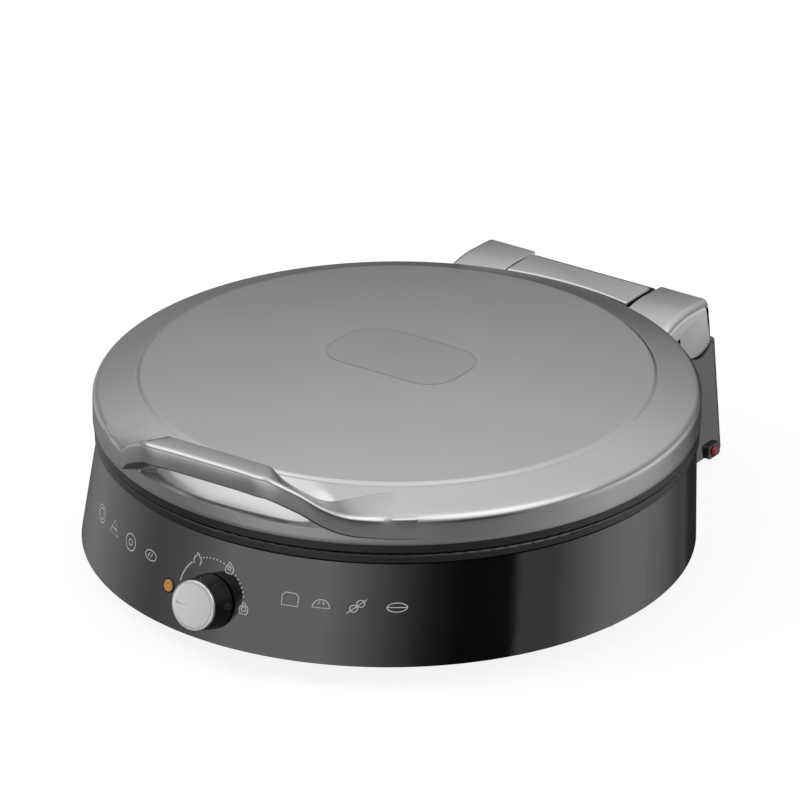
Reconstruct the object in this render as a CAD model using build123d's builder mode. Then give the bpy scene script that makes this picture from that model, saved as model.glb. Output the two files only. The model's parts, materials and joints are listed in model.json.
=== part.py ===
# Double-sided electric baking pan: a round base with a lower pan, and a hinged lid with an upper pan.
import os
from math import asin, atan, cos, degrees, radians, sin, sqrt

from build123d import *

os.makedirs("parts", exist_ok=True)

# Driving sizes, in millimetres. Z is up from the table, the front is -Y, X runs to the user's right.
rim_radius = 171.0          # outer radius of the lid's silver band
pan_radius = 150.0          # inner radius of both pans at their mouths
ground_gap = 13.7           # table to the bottom edge of the base wall
base_height = 57.2          # height of the leaning base wall
lower_pan_depth = 31.0
upper_pan_depth = 14.0
band_height = 16.8          # height of the lid's silver band
annulus_rise = 7.7          # rise of the sloping ring from the rim to the top panel
crown_rise = 8.8            # rise of the top panel from its edge to its middle
wall = 3.0                  # moulded wall thickness
pan_wall = 3.2
fit_gap = 0.2               # gap between pieces that drop into each other
running_gap = 0.4           # gap between the closed lid and the base
pin_play = 0.05             # radial clearance of a shaft that turns
handle_reach = 16.0         # the bar handle's front face beyond the rim
hinge_reach = 21.5          # the hinge axis beyond the rim
hinge_rise = 1.8            # the hinge axis above the lower edge of the lid's band
tower_reach = 40.0          # the hinge tower's rear face beyond the rim, at its top
tower_drop = 0.9            # the tower's top below the top of the base wall
tower_bottom_z = 3.0
gland_z = 20.0              # height of the cord entry on the tower's rear face
gland_lip = 2.5
knob_x = -4.0               # where the knob's axis leaves the base wall
knob_z = 36.0
knob_length = 16.8          # base wall to the face of the knob's cap
cap_radius = 14.4
cap_rounding = 0.9

# Levels that follow from the driving sizes
base_top_z = ground_gap + base_height
seam_depth = 1.0
collar_height = 5.3
collar_bottom_z = base_top_z + seam_depth
collar_top_z = collar_bottom_z + collar_height
lid_bottom_z = collar_top_z + running_gap
lid_trim_height = 5.6
band_bottom_z = lid_bottom_z + lid_trim_height
rim_z = band_bottom_z + band_height
tower_top_z = base_top_z - tower_drop
hinge_z = band_bottom_z + hinge_rise

# Places in front of and behind the rim
handle_front_y = -rim_radius - handle_reach
hinge_y = rim_radius + hinge_reach
tower_rear_y = rim_radius + tower_reach

# Base wall, an oblique cone that leans out at the front
base_top_radius = rim_radius - 2.5
base_bottom_radius = rim_radius + 2.2
base_lean = 8.3             # forward shift of the wall's bottom circle
base_lean_angle = degrees(atan((base_bottom_radius + base_lean - base_top_radius) / base_height))


def wall_point(x, z):
    """A point on the front of the base wall's outer face."""
    share = (base_top_z - z) / base_height
    radius = base_top_radius + (base_bottom_radius - base_top_radius) * share
    return (x, -base_lean * share - sqrt(radius**2 - x**2), z), radius


def wall_plane(x, z):
    """The plane that touches the front of the base wall at a point, its z running out of the wall."""
    point, radius = wall_point(x, z)
    turn = asin(x / radius)
    lean = radians(base_lean_angle)
    outward = (sin(turn) * cos(lean), -cos(turn) * cos(lean), sin(lean))
    return Plane(origin=point, x_dir=(cos(turn), sin(turn), 0), z_dir=outward)


# Knob and thermostat share one axis, square to the leaning wall
knob_plane = wall_plane(knob_x, knob_z)
knob_forward = -knob_plane.z_dir.Y
cap_edge = (cap_radius - cap_rounding) * sqrt(1 - knob_forward**2) + cap_rounding
knob_front_y = knob_plane.origin.Y - (knob_length - cap_rounding) * knob_forward - cap_edge

# The sizes below count from the axis of the round body; each saved piece is moved so that the whole
# object is centred over the origin
gland_face_y = tower_rear_y + (tower_top_z - gland_z) / (tower_top_z - tower_bottom_z)
origin_y = (gland_face_y + gland_lip + min(handle_front_y, knob_front_y)) / 2


def near(shapes, *point):
    """The shape whose middle lies nearest to a point."""
    return shapes.sort_by_distance(point)[0]


def radial_plane(angle):
    """An upright plane through the Z axis, its x running out at the angle, in degrees from +X."""
    return Plane(origin=(0, 0, 0), x_dir=(cos(radians(angle)), sin(radians(angle)), 0),
                 z_dir=(sin(radians(angle)), -cos(radians(angle)), 0))


def save(part, name):
    """Write one piece, moved to the object's origin."""
    placed = part.moved(Location((0, -origin_y, 0)))
    placed.label = name
    export_step(placed, f"parts/{name}.step")


# Lower pan: a cast dish whose flange rests on the collar
flange_width = 7.8
flange_height = 3.0
pan_draft = 8.0             # how much narrower each pan's floor is than its mouth
pan_floor_z = collar_top_z - lower_pan_depth
pan_underside_z = pan_floor_z - pan_wall
element_radius = pan_radius - 55.0
tube_radius = 3.3
shield_thickness = 0.8
boss_radius = 5.0
boss_circle = pan_radius - 28.0
boss_angles = (45, 135, 225, 315)
boss_length = 2 * tube_radius

with BuildPart() as lower_pan:
    with BuildSketch(Plane.XZ) as dish_section:
        with BuildLine():
            Polyline((0, pan_floor_z), (pan_radius - pan_draft, pan_floor_z), (pan_radius, collar_top_z),
                     (pan_radius + flange_width, collar_top_z),
                     (pan_radius + flange_width, collar_top_z - flange_height),
                     (pan_radius + pan_wall - 0.8, collar_top_z - flange_height),
                     (pan_radius - pan_draft + pan_wall, pan_underside_z), (0, pan_underside_z),
                     (0, pan_floor_z))
        make_face()
        fillet(near(vertices(), pan_radius - pan_draft, pan_floor_z), radius=9)
        fillet(near(vertices(), pan_radius - pan_draft + pan_wall, pan_underside_z), radius=10)
        fillet(near(vertices(), pan_radius, collar_top_z), radius=1.2)
    revolve(axis=Axis.Z)
    with BuildSketch(Plane.XY.offset(pan_underside_z)):
        with Locations(*[(boss_circle * cos(radians(a)), boss_circle * sin(radians(a))) for a in boss_angles]):
            Circle(boss_radius)
    extrude(amount=-boss_length)
save(lower_pan.part, "lower_pan")


def heating_element(z, lead_z):
    """A tubular ring with a gap at the back, its two ends bent to lead_z."""
    gap_half = 9.0
    lead_radius = element_radius - 14
    rise = 1 if lead_z > z else -1
    with BuildPart() as element:
        with BuildLine(Plane.XY.offset(z)) as loop:
            CenterArc((0, 0), element_radius, 90 + gap_half, 360 - 2 * gap_half)
        with BuildSketch(Plane(origin=loop.line @ 0, z_dir=loop.line % 0)):
            Circle(tube_radius)
        sweep(path=loop.line)
        for side in (-1, 1):
            angle = 90 + side * (gap_half + 1.5)
            with BuildSketch(Plane.XY.offset(z)):
                with Locations((element_radius * cos(radians(angle)), element_radius * sin(radians(angle)))):
                    Circle(tube_radius - 0.4)
            extrude(amount=lead_z - z)
    return element.part


# Lower element, pressed between the pan's underside and its heat shield
element_z = pan_underside_z - tube_radius
lower_shield_z = pan_underside_z - boss_length
lead_drop = 12.0
lower_element = heating_element(element_z, element_z - lead_drop)
save(lower_element, "lower_heating_element")

# Lower heat shield: a pressed steel dish with holes for the screws and the element's ends
shield_radius = pan_radius - pan_draft - 6
shield_lip = 5.0
lead_hole = 6.0
limiter_radius = 8.0
limiter_height = 11.0
with BuildPart() as lower_heat_shield:
    with BuildSketch(Plane.XY.offset(lower_shield_z)):
        Circle(shield_radius)
    extrude(amount=-shield_thickness)
    with BuildSketch(Plane.XY.offset(lower_shield_z)):
        Circle(shield_radius)
        Circle(shield_radius - shield_thickness, mode=Mode.SUBTRACT)
    extrude(amount=shield_lip)
    with BuildSketch(Plane.XY.offset(lower_shield_z)):
        Circle(limiter_radius + fit_gap)
        for side in (-1, 1):
            angle = radians(90 + side * 10.5)
            with Locations((element_radius * cos(angle), element_radius * sin(angle))):
                Circle(lead_hole)
        with Locations(*[(boss_circle * cos(radians(a)), boss_circle * sin(radians(a))) for a in boss_angles]):
            Circle(2.1)
    extrude(amount=-shield_thickness, mode=Mode.SUBTRACT)
save(lower_heat_shield.part, "lower_heat_shield")


def pan_screws(head_z, shank, direction):
    """Four pan-head screws that hold a heat shield against the pan's bosses."""
    with BuildPart() as screws:
        places = [(boss_circle * cos(radians(a)), boss_circle * sin(radians(a))) for a in boss_angles]
        with BuildSketch(Plane.XY.offset(head_z)):
            with Locations(*places):
                Circle(3.8)
        extrude(amount=-2.4 * direction)
        with BuildSketch(Plane.XY.offset(head_z)):
            with Locations(*places):
                Circle(2.0)
        extrude(amount=shank * direction)
    return screws.part


screw_shank = shield_thickness
save(pan_screws(lower_shield_z - shield_thickness, screw_shank, 1), "lower_pan_screws")

# Snap-action thermal limiters, one against the middle of each pan

def thermal_limiter(z, direction):
    """A round limiter body with its two tabs."""
    with BuildPart() as limiter:
        with BuildSketch(Plane.XY.offset(z)):
            Circle(limiter_radius)
        extrude(amount=limiter_height * direction)
        with BuildSketch(Plane.XY.offset(z + limiter_height * direction)):
            with Locations((-4.5, 0), (4.5, 0)):
                Rectangle(0.8, 6.3)
        extrude(amount=5 * direction)
    return limiter.part


save(thermal_limiter(pan_underside_z, -1), "lower_thermal_limiter")

# Collar: the black ring that carries the lower pan and stands on the base wall
collar_radius = rim_radius - 1.0
ledge_height = 2.7
spigot_depth = 9.0
void_top_radius = base_top_radius - wall
spigot_lean = (base_lean + base_top_radius - base_bottom_radius) * spigot_depth / base_height
spigot_radius = void_top_radius - fit_gap - max(spigot_lean, 0)
with BuildPart() as base_collar:
    with BuildSketch(Plane.XZ):
        with BuildLine():
            pan_seat_z = collar_top_z - flange_height
            seat_radius = pan_radius + flange_width + fit_gap
            Polyline((pan_radius + pan_wall - 0.8 + fit_gap, pan_seat_z), (seat_radius, pan_seat_z),
                     (seat_radius, collar_top_z), (collar_radius, collar_top_z),
                     (collar_radius, collar_bottom_z), (void_top_radius + 1.8, collar_bottom_z),
                     (void_top_radius + 1.8, base_top_z), (spigot_radius, base_top_z),
                     (spigot_radius, base_top_z - spigot_depth),
                     (spigot_radius - wall, base_top_z - spigot_depth),
                     (spigot_radius - wall, pan_seat_z - ledge_height),
                     (pan_radius + pan_wall - 0.8 + fit_gap, pan_seat_z - ledge_height),
                     (pan_radius + pan_wall - 0.8 + fit_gap, pan_seat_z))
        make_face()
        fillet(near(vertices(), collar_radius, collar_top_z), radius=1.2)
        fillet(near(vertices(), collar_radius, collar_bottom_z), radius=0.8)
    revolve(axis=Axis.Z)
save(base_collar.part, "base_collar")


# Thermostat and indicator places on the base wall
shaft_radius = 3.0
thermostat_spacing = 15.0
boss_reach = 6.0
bracket_thickness = 1.2
lamp_x = -34.5
lamp_plane = wall_plane(lamp_x, knob_z)
lens_radius = 3.6

# Hinge: its axis runs along X behind the lid
ear_inner_x = 43.0
ear_outer_x = 77.0
ear_radius = 19.8           # reach of the ear's skirt from the hinge axis
trough_gap = 0.6
ear_rear_y = hinge_y + 12.0
tower_top_half = ear_outer_x + 1.5
tower_bottom_half = 83.0
tower_front_y = rim_radius - 33.0
tower_leg_front_y = rim_radius - 21.0
tower_corner = 6.0
deck_thickness = 5.0
housing_half = 40.0
hinge_pin_radius = 4.0
bracket_screw_x = 24.0
bracket_screw_y = (hinge_y - 8.0, hinge_y + 5.0)

# Release button, low on the right side of the tower
button_y = hinge_y + 5.5
button_z = 5.2
button_radius = 3.0
button_gap = 0.1
pod_x = 85.0
pod_inner_x = 68.0
pod_length = 12.0
pod_low_z = 1.5
pod_high_z = 9.8
wire_radius = 0.35

# Screw columns that hold the bottom cover
column_circle = rim_radius - 6.0
column_radius = 6.0
column_angles = (15, -40, -140, 165, 60, 120)
column_top_z = base_top_z - 25.9
cover_thickness = 2.5
cover_top_z = ground_gap + cover_thickness
gland_radius = 7.0
column_places = [(column_circle * cos(radians(a)), -base_lean + column_circle * sin(radians(a)))
                 for a in column_angles]

with BuildPart() as wall_cone:
    with BuildSketch(Plane.XY.offset(base_top_z)):
        Circle(base_top_radius)
    with BuildSketch(Plane((0, -base_lean, ground_gap))):
        Circle(base_bottom_radius)
    loft(ruled=True)

with BuildPart() as wall_void:
    with BuildSketch(Plane.XY.offset(base_top_z)):
        Circle(base_top_radius - wall)
    with BuildSketch(Plane((0, -base_lean, ground_gap))):
        Circle(base_bottom_radius - wall)
    loft(ruled=True)

# Base shell: the leaning wall with the hinge tower moulded on behind it
with BuildPart() as tower:
    tower_depth = tower_rear_y - tower_front_y
    tower_middle_y = (tower_rear_y + tower_front_y) / 2
    with BuildSketch(Plane((0, tower_middle_y, tower_top_z))):
        Rectangle(2 * tower_top_half, tower_depth)
        fillet(vertices().group_by(Axis.Y)[-1], radius=tower_corner)
    with BuildSketch(Plane((0, tower_middle_y + 0.5, tower_bottom_z))):
        Rectangle(2 * tower_bottom_half, tower_depth + 1)
        fillet(vertices().group_by(Axis.Y)[-1], radius=tower_corner)
    loft(ruled=True)
    with BuildSketch(Plane((0, (tower_front_y + tower_leg_front_y) / 2, tower_bottom_z))):
        Rectangle(2.1 * tower_bottom_half, tower_leg_front_y - tower_front_y)
    extrude(amount=ground_gap - tower_bottom_z, mode=Mode.SUBTRACT)
    cavity_front = tower_leg_front_y + wall
    cavity_rear = tower_rear_y - wall
    with BuildSketch(Plane((0, (cavity_front + cavity_rear) / 2, tower_bottom_z + 2.5))):
        Rectangle(2 * (tower_top_half - wall), cavity_rear - cavity_front)
        fillet(vertices().group_by(Axis.Y)[-1], radius=tower_corner - wall)
    extrude(amount=tower_top_z - deck_thickness - 5 - tower_bottom_z - 2.5, mode=Mode.SUBTRACT)

with BuildPart() as base_shell:
    add(wall_cone.part)
    add(wall_void.part, mode=Mode.SUBTRACT)
    with BuildSketch(Plane.XY.offset(cover_top_z)):
        with Locations(*column_places):
            Circle(column_radius)
    extrude(amount=column_top_z - cover_top_z)
    with BuildSketch(knob_plane):
        with Locations((-thermostat_spacing, 0), (thermostat_spacing, 0)):
            Circle(4)
    extrude(amount=-boss_reach)
    add(wall_cone.part, mode=Mode.INTERSECT)
    add(tower.part - wall_void.part)
    with BuildSketch(Plane.YZ.offset(pod_inner_x)):
        with Locations((button_y, (pod_low_z + pod_high_z) / 2)):
            RectangleRounded(pod_length, pod_high_z - pod_low_z, 2)
    extrude(amount=pod_x - pod_inner_x)
    with BuildSketch(Plane.YZ.offset(-tower_bottom_half - 1)):
        with Locations((hinge_y, hinge_z)):
            Circle(ear_radius + trough_gap)
    extrude(amount=tower_bottom_half + 1 - ear_inner_x + 2, mode=Mode.SUBTRACT)
    with BuildSketch(Plane.YZ.offset(ear_inner_x - 2)):
        with Locations((hinge_y, hinge_z)):
            Circle(ear_radius + trough_gap)
    extrude(amount=tower_bottom_half + 1 - ear_inner_x + 2, mode=Mode.SUBTRACT)
    with BuildSketch(Plane.YZ.offset(pod_inner_x + 2)):
        with Locations((button_y, button_z)):
            Circle(button_radius + button_gap)
    extrude(amount=pod_x - pod_inner_x, mode=Mode.SUBTRACT)
    with BuildSketch(knob_plane.offset(boss_reach)):
        Circle(shaft_radius + 0.6)
    extrude(amount=-2 * boss_reach, mode=Mode.SUBTRACT)
    with BuildSketch(knob_plane.offset(-boss_reach)):
        with Locations((-thermostat_spacing, 0), (thermostat_spacing, 0)):
            Circle(1.3)
    extrude(amount=boss_reach - 1, mode=Mode.SUBTRACT)
    with BuildSketch(lamp_plane):
        Circle(lens_radius + 0.1)
    extrude(amount=boss_reach, both=True, mode=Mode.SUBTRACT)
    with BuildSketch(Plane.XY.offset(cover_top_z)):
        with Locations(*column_places):
            Circle(1.6)
    extrude(amount=12, mode=Mode.SUBTRACT)
    with BuildSketch(Plane.XY.offset(tower_top_z)):
        for y in bracket_screw_y:
            with Locations((-bracket_screw_x, y), (bracket_screw_x, y)):
                Circle(2.0)
    extrude(amount=-8, mode=Mode.SUBTRACT)
    with BuildSketch(Plane.XZ.offset(-tower_rear_y - 2)):
        with Locations((0, gland_z)):
            Circle(gland_radius)
    extrude(amount=wall + 4, mode=Mode.SUBTRACT)
save(base_shell.part, "base_shell")

# Bottom cover: a plate let into the wall's lower edge, with five legs for the feet
foot_radius = 9.5
foot_height = 4.0
leg_radius = 11.0
side_foot = (rim_radius - 24.0, -14.0)
front_foot = (75.0, -105.0)
rear_foot = (54.0, tower_rear_y - 21.0)
leg_places = [(side * x, y) for x, y in (side_foot, front_foot) for side in (-1, 1)]
vent_count = 9
vent_length = 34.0
vent_width = 3.0
vent_pitch = 8.0
with BuildPart() as base_bottom_cover:
    share = cover_thickness / base_height
    cover_radius = base_bottom_radius - wall - fit_gap
    with BuildSketch(Plane((0, -base_lean, ground_gap))):
        Circle(cover_radius)
    with BuildSketch(Plane((0, -base_lean * (1 - share), cover_top_z))):
        Circle(cover_radius - (base_bottom_radius - base_top_radius) * share)
    loft(ruled=True)
    with BuildSketch(Plane.XY.offset(ground_gap)):
        with Locations(*leg_places):
            Circle(leg_radius)
    extrude(amount=foot_height - ground_gap, taper=2)
    with BuildSketch(Plane.XY.offset(foot_height)):
        with Locations(*leg_places):
            Circle(3)
    extrude(amount=6, mode=Mode.SUBTRACT)
    with BuildSketch(Plane.XY.offset(ground_gap)):
        with GridLocations(vent_pitch, vent_length + 16, vent_count, 2):
            SlotOverall(vent_length, vent_width, rotation=90)
        with Locations(*column_places):
            Circle(2)
    extrude(amount=cover_thickness, mode=Mode.SUBTRACT)
save(base_bottom_cover.part, "base_bottom_cover")

# Rubber feet: four with studs in the cover's legs, and two flat pads under the tower
with BuildPart() as rubber_feet:
    with BuildSketch(Plane.XY):
        with Locations(*leg_places):
            Circle(foot_radius)
    extrude(amount=foot_height)
    chamfer(faces().group_by(Axis.Z)[0].edges(), length=0.8)
    with BuildSketch(Plane.XY.offset(foot_height)):
        with Locations(*leg_places):
            Circle(3)
    extrude(amount=5)
    with BuildSketch(Plane.XY):
        with Locations((-rear_foot[0], rear_foot[1]), rear_foot):
            Circle(foot_radius)
    extrude(amount=tower_bottom_z)
save(rubber_feet.part, "rubber_feet")

# Screws that hold the bottom cover, their heads against its underside
with BuildPart() as bottom_screws:
    with BuildSketch(Plane.XY.offset(ground_gap)):
        with Locations(*column_places):
            Circle(3.4)
    extrude(amount=-2.2)
    with BuildSketch(Plane.XY.offset(ground_gap)):
        with Locations(*column_places):
            Circle(1.6)
    extrude(amount=cover_thickness + 8)
save(bottom_screws.part, "bottom_screws")

# Thermostat: its bracket screws to two columns behind the knob
body_radius = 12.0
body_depth = 14.0
bracket_back = -boss_reach - bracket_thickness
with BuildPart() as thermostat_bracket:
    with BuildSketch(knob_plane.offset(-boss_reach)):
        RectangleRounded(2 * thermostat_spacing + 9, 18, 4)
        Circle(shaft_radius + 0.6, mode=Mode.SUBTRACT)
        with Locations((-thermostat_spacing, 0), (thermostat_spacing, 0)):
            Circle(1.5, mode=Mode.SUBTRACT)
    extrude(amount=-bracket_thickness)
save(thermostat_bracket.part, "thermostat_bracket")

with BuildPart() as thermostat_body:
    with BuildSketch(knob_plane.offset(bracket_back)):
        Circle(body_radius)
        Circle(shaft_radius + pin_play, mode=Mode.SUBTRACT)
    extrude(amount=-body_depth)
    with BuildSketch(knob_plane.offset(bracket_back - body_depth)):
        Circle(body_radius)
    extrude(amount=-2)
    with BuildSketch(knob_plane.offset(bracket_back - body_depth - 2)):
        with Locations((-5, -4), (5, -4)):
            Rectangle(0.8, 6.3)
    extrude(amount=-7)
save(thermostat_body.part, "thermostat_body")

with BuildPart() as thermostat_screws:
    with BuildSketch(knob_plane.offset(bracket_back)):
        with Locations((-thermostat_spacing, 0), (thermostat_spacing, 0)):
            Circle(2.6)
    extrude(amount=-2)
    with BuildSketch(knob_plane.offset(bracket_back)):
        with Locations((-thermostat_spacing, 0), (thermostat_spacing, 0)):
            Circle(1.3)
    extrude(amount=boss_reach + bracket_thickness - 1)
save(thermostat_screws.part, "thermostat_screws")

# Knob: a tapered black barrel with a silver cap, on the thermostat's shaft
knob_gap = 1.0
knob_base_radius = 15.7
cap_thickness = 1.6
shaft_engagement = 11.0
with BuildPart() as thermostat_shaft:
    with BuildSketch(knob_plane.offset(bracket_back - body_depth)):
        Circle(shaft_radius)
    extrude(amount=body_depth - bracket_back + shaft_engagement)
save(thermostat_shaft.part, "thermostat_shaft")

with BuildPart() as knob_barrel:
    with BuildSketch(knob_plane.offset(knob_gap)):
        Circle(knob_base_radius)
    with BuildSketch(knob_plane.offset(knob_length - cap_thickness)):
        Circle(cap_radius)
    loft()
    with BuildSketch(knob_plane):
        Circle(shaft_radius)
    extrude(amount=shaft_engagement, mode=Mode.SUBTRACT)
save(knob_barrel.part, "knob_barrel")

with BuildPart() as knob_cap:
    with BuildSketch(knob_plane.offset(knob_length - cap_thickness)):
        Circle(cap_radius)
    extrude(amount=cap_thickness)
    fillet(faces().sort_by(Axis.Y)[0].edges(), radius=cap_rounding)
save(knob_cap.part, "knob_cap")

# Indicator: a lens in the wall and the neon lamp behind it
with BuildPart() as indicator_lens:
    with BuildSketch(lamp_plane.offset(-wall - 1)):
        Circle(lens_radius)
    extrude(amount=wall + 1.8)
    fillet(faces().sort_by(Axis.Y)[0].edges(), radius=0.7)
save(indicator_lens.part, "indicator_lens")

with BuildPart() as indicator_lamp:
    with BuildSketch(lamp_plane.offset(-wall - 1)):
        Circle(2.6)
    extrude(amount=-13)
save(indicator_lamp.part, "indicator_lamp")

# Terminal block on the bottom cover, and the bush where a cord would come in
block_y = rim_radius - 51.0
with BuildPart() as terminal_block:
    with BuildSketch(Plane((0, block_y, cover_top_z))):
        Rectangle(36, 18)
    extrude(amount=7)
    with BuildSketch(Plane((0, block_y, cover_top_z + 7))):
        Rectangle(36, 9)
    extrude(amount=6)
    with BuildSketch(Plane((0, block_y, cover_top_z + 13))):
        with GridLocations(12, 1, 3, 1):
            Circle(2.5)
    extrude(amount=-4, mode=Mode.SUBTRACT)
save(terminal_block.part, "terminal_block")

gland_bore = 3.6
gland_flange = 10.0
with BuildPart() as cord_gland:
    with BuildSketch(Plane.XZ.offset(-gland_face_y - 1)):
        with Locations((0, gland_z)):
            Circle(gland_radius)
    extrude(amount=wall + 4)
    with BuildSketch(Plane.XZ.offset(-gland_face_y - gland_lip)):
        with Locations((0, gland_z)):
            Circle(gland_flange)
    extrude(amount=gland_lip - fit_gap)
    with BuildSketch(Plane.XZ.offset(-gland_face_y - 3)):
        with Locations((0, gland_z)):
            Circle(gland_bore)
    extrude(amount=wall + 7, mode=Mode.SUBTRACT)
save(cord_gland.part, "cord_gland")

# Thermal fuse clipped under the lower heat shield
fuse_radius = 2.2
with BuildPart() as thermal_fuse:
    with BuildSketch(Plane.YZ.offset(-14)):
        with Locations((-60, lower_shield_z - shield_thickness - fuse_radius)):
            Circle(fuse_radius)
    extrude(amount=28)
save(thermal_fuse.part, "thermal_fuse")

# Hinge: a black housing between the ears with a silver cover, its steel bracket, and the pin
housing_front_y = hinge_y - 18.5
housing_rear_y = hinge_y + 13.0
housing_rear_rounding = 8.0
housing_top_z = rim_z - 3.8
hinge_cover_thickness = 1.8
housing_wall = 3.5
with BuildPart() as hinge_housing:
    with BuildSketch(Plane.YZ.offset(-housing_half)):
        with BuildLine():
            Polyline((housing_front_y, tower_top_z), (housing_front_y, housing_top_z),
                     (housing_rear_y, housing_top_z), (housing_rear_y, tower_top_z),
                     (housing_front_y, tower_top_z))
        make_face()
        fillet(near(vertices(), housing_front_y, housing_top_z), radius=4.5)
        fillet(near(vertices(), housing_rear_y, housing_top_z), radius=housing_rear_rounding)
    extrude(amount=2 * housing_half)
    with BuildSketch(Plane((0, (housing_front_y + housing_rear_y) / 2, tower_top_z))):
        Rectangle(2 * (housing_half - housing_wall), housing_rear_y - housing_front_y - 2 * housing_wall)
    extrude(amount=housing_top_z - tower_top_z - housing_wall, mode=Mode.SUBTRACT)
    with BuildSketch(Plane.YZ.offset(-housing_half)):
        with Locations((hinge_y, hinge_z)):
            Circle(hinge_pin_radius)
    extrude(amount=2 * housing_half, mode=Mode.SUBTRACT)
save(hinge_housing.part, "hinge_housing")

with BuildPart() as hinge_cover:
    cover_front_y = housing_front_y + 3.5
    cover_rear_y = housing_rear_y - housing_rear_rounding - 1
    with BuildSketch(Plane((0, (cover_front_y + cover_rear_y) / 2, housing_top_z))):
        RectangleRounded(2 * housing_half, cover_rear_y - cover_front_y, 1.5)
    extrude(amount=hinge_cover_thickness)
    fillet(faces().sort_by(Axis.Z)[-1].edges(), radius=1.2)
save(hinge_cover.part, "hinge_cover")

bracket_half = 33.0
bracket_plate = 2.5
bracket_reach = 11.0
knuckle_radius = 7.5
with BuildPart() as hinge_bracket:
    bracket_middle_y = sum(bracket_screw_y) / 2
    with BuildSketch(Plane((0, bracket_middle_y, tower_top_z))):
        Rectangle(2 * bracket_half, 2 * bracket_reach)
    extrude(amount=bracket_plate)
    for x in (-bracket_half, bracket_half - bracket_plate):
        with BuildSketch(Plane.YZ.offset(x)):
            with BuildLine():
                Polyline((bracket_middle_y - bracket_reach, tower_top_z),
                         (bracket_middle_y + bracket_reach, tower_top_z), (hinge_y + knuckle_radius, hinge_z),
                         (hinge_y - knuckle_radius, hinge_z), (bracket_middle_y - bracket_reach, tower_top_z))
            make_face()
            with Locations((hinge_y, hinge_z)):
                Circle(knuckle_radius)
            with Locations((hinge_y, hinge_z)):
                Circle(hinge_pin_radius, mode=Mode.SUBTRACT)
        extrude(amount=bracket_plate)
    with BuildSketch(Plane.XY.offset(tower_top_z)):
        for y in bracket_screw_y:
            with Locations((-bracket_screw_x, y), (bracket_screw_x, y)):
                Circle(2.0)
    extrude(amount=bracket_plate, mode=Mode.SUBTRACT)
save(hinge_bracket.part, "hinge_bracket")

with BuildPart() as hinge_bracket_screws:
    for y in bracket_screw_y:
        with BuildSketch(Plane.XY.offset(tower_top_z + bracket_plate)):
            with Locations((-bracket_screw_x, y), (bracket_screw_x, y)):
                Circle(3.6)
        extrude(amount=2.4)
        with BuildSketch(Plane.XY.offset(tower_top_z + bracket_plate)):
            with Locations((-bracket_screw_x, y), (bracket_screw_x, y)):
                Circle(2.0)
        extrude(amount=-bracket_plate - 7)
save(hinge_bracket_screws.part, "hinge_bracket_screws")

pin_half = 62.5
with BuildPart() as hinge_pin:
    with BuildSketch(Plane.YZ.offset(-pin_half)):
        with Locations((hinge_y, hinge_z)):
            Circle(hinge_pin_radius)
    extrude(amount=2 * pin_half)
save(hinge_pin.part, "hinge_pin")

# Release button: a red plunger with a domed head, on its spring
plunger_length = pod_x - pod_inner_x - 7
dome_height = 1.8
spring_bore = 2.2
with BuildPart() as release_button:
    with BuildSketch(Plane.YZ.offset(pod_x - plunger_length)):
        with Locations((button_y, button_z)):
            Circle(button_radius)
    extrude(amount=plunger_length + dome_height)
    fillet(faces().sort_by(Axis.X)[-1].edges(), radius=1.6)
    with BuildSketch(Plane.YZ.offset(pod_x - plunger_length)):
        with Locations((button_y, button_z)):
            Circle(spring_bore)
    extrude(amount=plunger_length - 2, mode=Mode.SUBTRACT)
save(release_button.part, "release_button")

spring_length = pod_x - pod_inner_x - 4
spring_turns = 8
coil_radius = spring_bore - wire_radius - 0.15
with BuildPart() as release_spring:
    with BuildLine() as coil:
        Helix(pitch=(spring_length - 2 * wire_radius) / spring_turns, height=spring_length - 2 * wire_radius,
              radius=coil_radius, center=(pod_inner_x + 2 + wire_radius, button_y, button_z), direction=(1, 0, 0))
    with BuildSketch(Plane(origin=coil.line @ 0, z_dir=coil.line % 0)):
        Circle(wire_radius)
    sweep(path=coil.line, is_frenet=True)
save(release_spring.part, "release_spring")

# Upper trim ring: the black ring under the lid's band, its ledge carrying the upper pan
trim_radius = rim_radius - 0.6
upper_flange_top_z = lid_bottom_z + flange_height
upper_ledge_top_z = upper_flange_top_z + ledge_height
lid_spigot_radius = rim_radius - wall - fit_gap
lid_spigot_top_z = band_bottom_z + 6.0
ledge_radius = pan_radius + pan_wall - 0.8 + fit_gap
with BuildPart() as upper_trim_ring:
    with BuildSketch(Plane.XZ):
        with BuildLine():
            Polyline((seat_radius, lid_bottom_z), (trim_radius, lid_bottom_z), (trim_radius, band_bottom_z),
                     (lid_spigot_radius, band_bottom_z), (lid_spigot_radius, lid_spigot_top_z),
                     (lid_spigot_radius - wall, lid_spigot_top_z), (lid_spigot_radius - wall, upper_ledge_top_z),
                     (ledge_radius, upper_ledge_top_z), (ledge_radius, upper_flange_top_z),
                     (seat_radius, upper_flange_top_z), (seat_radius, lid_bottom_z))
        make_face()
        fillet(near(vertices(), trim_radius, lid_bottom_z), radius=1.2)
    revolve(axis=Axis.Z)
save(upper_trim_ring.part, "upper_trim_ring")

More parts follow.
